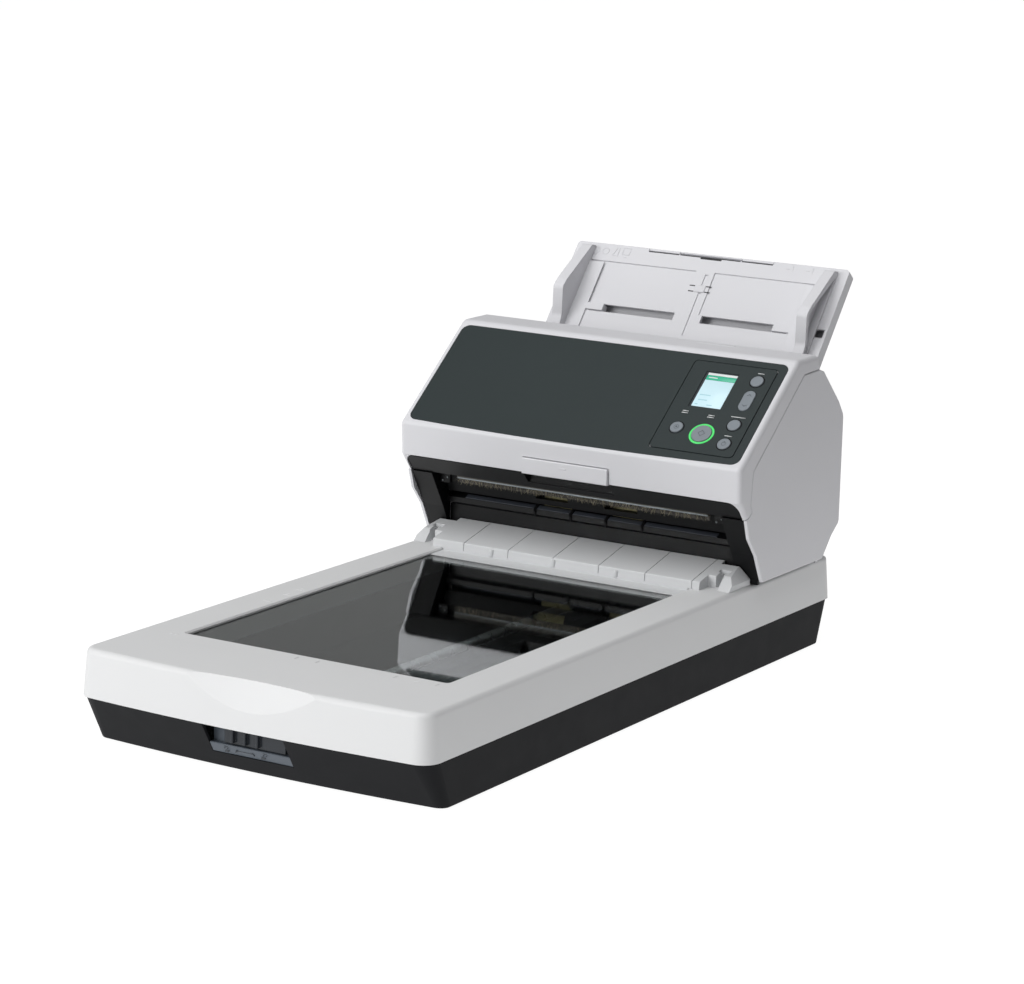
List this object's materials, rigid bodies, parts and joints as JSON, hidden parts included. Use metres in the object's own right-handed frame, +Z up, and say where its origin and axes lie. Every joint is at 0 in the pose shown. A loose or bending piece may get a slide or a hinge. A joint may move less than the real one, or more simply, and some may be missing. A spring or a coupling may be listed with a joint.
{
  "type": "flatbed scanner",
  "caption": "Flatbed document scanner with a glass bed, a sheet feeder over its rear, an opening feeder cover with operator panel, and a paper chute with sliding guides.",
  "frame": {"origin": "centre of the bounding box's footprint, on the surface the scanner stands on", "axes": "+X to the operator's right, +Y to the rear, +Z up"},
  "size_m": [0.3, 0.6383, 0.2848],
  "materials": {
    "light_grey": "fine satin texture, cool light grey",
    "deck_white": "fine satin texture, off-white",
    "ramp_grey": "fine satin texture, mid light grey",
    "charcoal": "fine texture, charcoal",
    "black_inside": "satin, black",
    "panel_dark": "satin dark grey-green",
    "button_grey": "satin mid grey",
    "screen": "lit display",
    "ring_green": "lit green light guide",
    "glass": "clear float glass",
    "rubber_black": "matt",
    "roller_cream": "matt cream",
    "steel": "ground",
    "motor_can": "plated can",
    "circuit_green": "solder mask",
    "connector": "moulded",
    "brush_fibre": "conductive fibre",
    "lock_grey": "satin grey-blue"
  },
  "bodies": {
    "base": {"lower_case": "charcoal", "upper_case": "deck_white", "platen_glass": "glass", "rubber_feet": "rubber_black", "case_screws": "steel", "lock_escutcheon": "lock_grey", "guide_rod": "steel", "carriage_belt": "rubber_black", "carriage_motor": "motor_can", "exit_ramp": "ramp_grey", "left_side_panel": "light_grey", "right_side_panel": "light_grey", "rear_cover": "light_grey", "main_board": "circuit_green", "power_inlet": "connector", "usb_port": "steel", "network_port": "connector", "lower_guide": "black_inside", "lower_image_sensor": "connector", "feeder_motor": "motor_can", "feeder_belt": "rubber_black", "hinge_pins": "steel", "chute_tray": "light_grey", "chute_back": "light_grey"},
    "transport_lock": {"transport_lock": "lock_grey"},
    "carriage": {"scan_carriage": "black_inside", "lens_bar": "glass"},
    "carriage_drive": {"carriage_drive_pulley": "connector"},
    "carriage_idler": {"carriage_idler_pulley": "connector"},
    "eject_roller": {"eject_shaft": "steel", "eject_tyres": "roller_cream"},
    "feed_roller": {"feed_shaft": "steel", "feed_tyres": "roller_cream"},
    "pick_roller": {"pick_shaft": "steel", "pick_tyres": "rubber_black"},
    "motor_spindle": {"motor_pulley": "steel"},
    "cover": {"adf_cover": "light_grey", "front_panel": "panel_dark", "operator_bezel": "panel_dark", "lcd_screen": "screen", "status_ring": "ring_green", "button_board": "circuit_green", "upper_guide": "black_inside", "upper_image_sensor": "connector", "brush_strip": "brush_fibre"},
    "menu": {"menu_button": "button_grey"},
    "manual_feed": {"manual_feed_button": "button_grey"},
    "power": {"power_button": "button_grey"},
    "stop": {"stop_button": "button_grey"},
    "scan": {"scan_button": "button_grey"},
    "scroll": {"scroll_rocker": "button_grey"},
    "tab": {"release_tab": "light_grey"},
    "idlers": {"eject_idlers": "roller_cream"},
    "brake": {"brake_roller": "rubber_black"},
    "outer_extension": {"extension_outer": "light_grey"},
    "inner_extension": {"extension_inner": "light_grey"},
    "right_guide": {"right_paper_guide": "light_grey"},
    "left_guide": {"left_paper_guide": "light_grey"},
    "pinion": {"guide_pinion": "connector"}
  },
  "joints": [
    {"name": "lock_slide", "type": "slide", "parent": "base", "child": "transport_lock", "axis": [-1, 0, 0], "range_m": [0, 0.008]},
    {"name": "carriage_slide", "type": "slide", "parent": "base", "child": "carriage", "axis": [0, -1, 0], "range_m": [0, 0.34]},
    {"name": "carriage_drive_spin", "type": "hinge", "parent": "base", "child": "carriage_drive", "pos_m": [0.028, 0.1488, 0.037], "axis": [0, 0, 1], "range_deg": [0, 2440]},
    {"name": "carriage_idler_spin", "type": "hinge", "parent": "base", "child": "carriage_idler", "pos_m": [0.028, -0.2472, 0.037], "axis": [0, 0, 1], "range_deg": [0, 2440]},
    {"name": "eject_roller_spin", "type": "hinge", "parent": "base", "child": "eject_roller", "pos_m": [0, 0.14363, 0.10758], "axis": [1, 0, 0], "continuous": true},
    {"name": "feed_roller_spin", "type": "hinge", "parent": "base", "child": "feed_roller", "pos_m": [0, 0.19933, 0.15431], "axis": [1, 0, 0], "continuous": true},
    {"name": "pick_roller_spin", "type": "hinge", "parent": "base", "child": "pick_roller", "pos_m": [0, 0.23203, 0.17849], "axis": [1, 0, 0], "continuous": true},
    {"name": "motor_spin", "type": "hinge", "parent": "base", "child": "motor_spindle", "pos_m": [0, 0.2008, 0.104], "axis": [1, 0, 0], "continuous": true},
    {"name": "cover_hinge", "type": "hinge", "parent": "base", "child": "cover", "pos_m": [0, 0.2206, 0.212], "axis": [-1, 0, 0], "range_deg": [0, 60]},
    {"name": "menu_press", "type": "slide", "parent": "cover", "child": "menu", "axis": [0, 0.6225, -0.7826], "range_m": [0, 0.0008], "stiffness_N_per_m": 600},
    {"name": "manual_feed_press", "type": "slide", "parent": "cover", "child": "manual_feed", "axis": [0, 0.6225, -0.7826], "range_m": [0, 0.0008], "stiffness_N_per_m": 600},
    {"name": "power_press", "type": "slide", "parent": "cover", "child": "power", "axis": [0, 0.6225, -0.7826], "range_m": [0, 0.0008], "stiffness_N_per_m": 600},
    {"name": "stop_press", "type": "slide", "parent": "cover", "child": "stop", "axis": [0, 0.6225, -0.7826], "range_m": [0, 0.0008], "stiffness_N_per_m": 600},
    {"name": "scan_press", "type": "slide", "parent": "cover", "child": "scan", "axis": [0, 0.6225, -0.7826], "range_m": [0, 0.0008], "stiffness_N_per_m": 600},
    {"name": "scroll_rock", "type": "hinge", "parent": "cover", "child": "scroll", "pos_m": [0.1256, 0.1444, 0.20314], "axis": [1, 0, 0], "range_deg": [-3, 3], "stiffness_Nm_per_rad": 0.2},
    {"name": "tab_lift", "type": "hinge", "parent": "cover", "child": "tab", "pos_m": [0, 0.0918, 0.1489], "axis": [-1, 0, 0], "range_deg": [0, 14], "stiffness_Nm_per_rad": 0.15},
    {"name": "idlers_spin", "type": "hinge", "parent": "cover", "child": "idlers", "pos_m": [0, 0.1338, 0.1193], "axis": [1, 0, 0], "continuous": true},
    {"name": "brake_spin", "type": "hinge", "parent": "cover", "child": "brake", "pos_m": [0, 0.18756, 0.16833], "axis": [1, 0, 0], "continuous": true},
    {"name": "outer_extension_slide", "type": "slide", "parent": "base", "child": "outer_extension", "axis": [0, 0.6293, 0.7771], "range_m": [0, 0.035]},
    {"name": "inner_extension_slide", "type": "slide", "parent": "outer_extension", "child": "inner_extension", "axis": [0, 0.6293, 0.7771], "range_m": [0, 0.035]},
    {"name": "right_guide_slide", "type": "slide", "parent": "base", "child": "right_guide", "axis": [-1, 0, 0], "range_m": [0, 0.06]},
    {"name": "left_guide_slide", "type": "slide", "parent": "base", "child": "left_guide", "axis": [1, 0, 0], "range_m": [0, 0.0605]},
    {"name": "pinion_spin", "type": "hinge", "parent": "base", "child": "pinion", "pos_m": [0, 0.26467, 0.21589], "axis": [0, -0.7771, 0.6293], "range_deg": [0, 432]}
  ],
  "couplings": [
    {"joint": "carriage_drive_spin", "follows": "carriage_slide", "rad_per_m": 125},
    {"joint": "carriage_idler_spin", "follows": "carriage_slide", "rad_per_m": 125},
    {"joint": "feed_roller_spin", "follows": "eject_roller_spin", "ratio": 1},
    {"joint": "pick_roller_spin", "follows": "eject_roller_spin", "ratio": 1},
    {"joint": "motor_spin", "follows": "eject_roller_spin", "ratio": 1.5},
    {"joint": "left_guide_slide", "follows": "right_guide_slide", "ratio": 1},
    {"joint": "pinion_spin", "follows": "right_guide_slide", "rad_per_m": 125}
  ]
}
